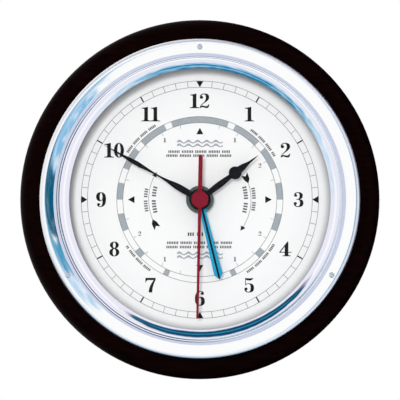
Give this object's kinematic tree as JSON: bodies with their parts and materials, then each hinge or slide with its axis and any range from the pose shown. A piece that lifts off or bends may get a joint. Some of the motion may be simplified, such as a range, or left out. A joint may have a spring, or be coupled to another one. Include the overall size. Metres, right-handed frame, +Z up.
{
  "type": "tide clock",
  "caption": "Round wall tide clock: dark lacquered wooden base, polished metal bezel, white numbered dial behind glass, and coaxial tide, hour, minute and seconds hands.",
  "frame": {"origin": "centre of the flat back face that lies on the wall, on the axis of the hands", "axes": "+Y from the dial towards the wall, +Z up to 12 o'clock, +X towards 3 o'clock; the clock faces -Y"},
  "size_m": [0.18, 0.0377, 0.18],
  "materials": {
    "lacquered_wood": "black lacquer, polished",
    "bezel_chrome": "polished",
    "screw_steel": "plated",
    "hanger_zinc": "zinc plated",
    "spun_aluminium": "spun",
    "window": "clear",
    "black_rubber": "matt",
    "white_plastic": "matt",
    "dial_paint": "white, printed",
    "brass": "turned",
    "housing_plastic": "moulded",
    "bridge_plastic": "moulded",
    "wheel_plastic": "moulded",
    "knob_plastic": "moulded",
    "magnet": "sintered",
    "soft_iron": "stamped",
    "bobbin_plastic": "moulded",
    "copper": "enamelled wire",
    "circuit_laminate": "laminate",
    "chip_resin": "resin drop",
    "crystal_can": "drawn can",
    "battery_wrap": "plain wrap",
    "contact_spring": "nickel plated",
    "tide_blue": "enamel",
    "hand_black": "enamel",
    "seconds_crimson": "enamel"
  },
  "bodies": {
    "base": {"wood_base": "lacquered_wood", "hanger_plate": "hanger_zinc", "hanger_screws": "screw_steel", "case_cup": "spun_aluminium", "bezel_ring": "bezel_chrome", "bezel_screws": "screw_steel", "glass": "window", "glass_gasket": "black_rubber", "dial_spacer": "white_plastic", "dial": "dial_paint", "cushion_washer": "black_rubber", "centre_bush": "brass", "mounting_washer": "screw_steel", "mounting_nut": "screw_steel", "movement_shell": "housing_plastic", "rear_cover": "housing_plastic", "middle_plate": "bridge_plastic", "stator": "soft_iron", "coil_core": "soft_iron", "coil_bobbin": "bobbin_plastic", "coil_winding": "copper", "circuit_board": "circuit_laminate", "timing_chip": "chip_resin", "quartz_crystal": "crystal_can", "battery_cell": "battery_wrap", "contact_positive": "contact_spring", "contact_negative": "contact_spring"},
    "seconds": {"seconds_wheel": "wheel_plastic", "seconds_hand": "seconds_crimson"},
    "minute": {"centre_wheel": "wheel_plastic", "clutch_spring": "contact_spring", "minute_pipe": "wheel_plastic", "minute_hand": "hand_black"},
    "hour": {"hour_wheel": "wheel_plastic", "hour_hand": "hand_black"},
    "tide": {"tide_wheel": "wheel_plastic", "tide_hand": "tide_blue"},
    "third": {"third_wheel": "wheel_plastic"},
    "intermediate": {"intermediate_wheel": "wheel_plastic"},
    "rotor": {"rotor_pinion": "wheel_plastic", "rotor_magnet": "magnet"},
    "motion": {"motion_wheel": "wheel_plastic", "time_set_knob": "knob_plastic"},
    "transfer": {"transfer_wheel": "wheel_plastic", "tide_set_knob": "knob_plastic"}
  },
  "joints": [
    {"name": "seconds_turn", "type": "hinge", "parent": "base", "child": "seconds", "pos_m": [0, -0.0072, 0], "axis": [0, 1, 0], "continuous": true},
    {"name": "minute_turn", "type": "hinge", "parent": "base", "child": "minute", "pos_m": [0, -0.0116, 0], "axis": [0, 1, 0], "continuous": true},
    {"name": "hour_turn", "type": "hinge", "parent": "base", "child": "hour", "pos_m": [0, -0.0148, 0], "axis": [0, 1, 0], "continuous": true},
    {"name": "tide_turn", "type": "hinge", "parent": "base", "child": "tide", "pos_m": [0, -0.0164, 0], "axis": [0, 1, 0], "continuous": true},
    {"name": "third_turn", "type": "hinge", "parent": "base", "child": "third", "pos_m": [-0.00869, -0.0088, 0.00233], "axis": [0, 1, 0], "continuous": true},
    {"name": "intermediate_turn", "type": "hinge", "parent": "base", "child": "intermediate", "pos_m": [0, -0.0056, 0.0084], "axis": [0, 1, 0], "continuous": true},
    {"name": "rotor_turn", "type": "hinge", "parent": "base", "child": "rotor", "pos_m": [0.00509, -0.0056, 0.01349], "axis": [0, 1, 0], "continuous": true},
    {"name": "motion_turn", "type": "hinge", "parent": "base", "child": "motion", "pos_m": [0.00779, -0.0132, 0.0045], "axis": [0, 1, 0], "continuous": true},
    {"name": "transfer_turn", "type": "hinge", "parent": "base", "child": "transfer", "pos_m": [-0.0072, -0.0148, 0.01247], "axis": [0, 1, 0], "continuous": true}
  ],
  "couplings": [
    {"joint": "minute_turn", "follows": "seconds_turn", "ratio": 0.016667},
    {"joint": "hour_turn", "follows": "seconds_turn", "ratio": 0.0013889},
    {"joint": "tide_turn", "follows": "seconds_turn", "ratio": 0.0013418},
    {"joint": "third_turn", "follows": "seconds_turn", "ratio": -0.13333},
    {"joint": "intermediate_turn", "follows": "seconds_turn", "ratio": -6},
    {"joint": "rotor_turn", "follows": "seconds_turn", "ratio": 30},
    {"joint": "motion_turn", "follows": "seconds_turn", "ratio": -0.0055556},
    {"joint": "transfer_turn", "follows": "seconds_turn", "ratio": -0.0013889}
  ]
}
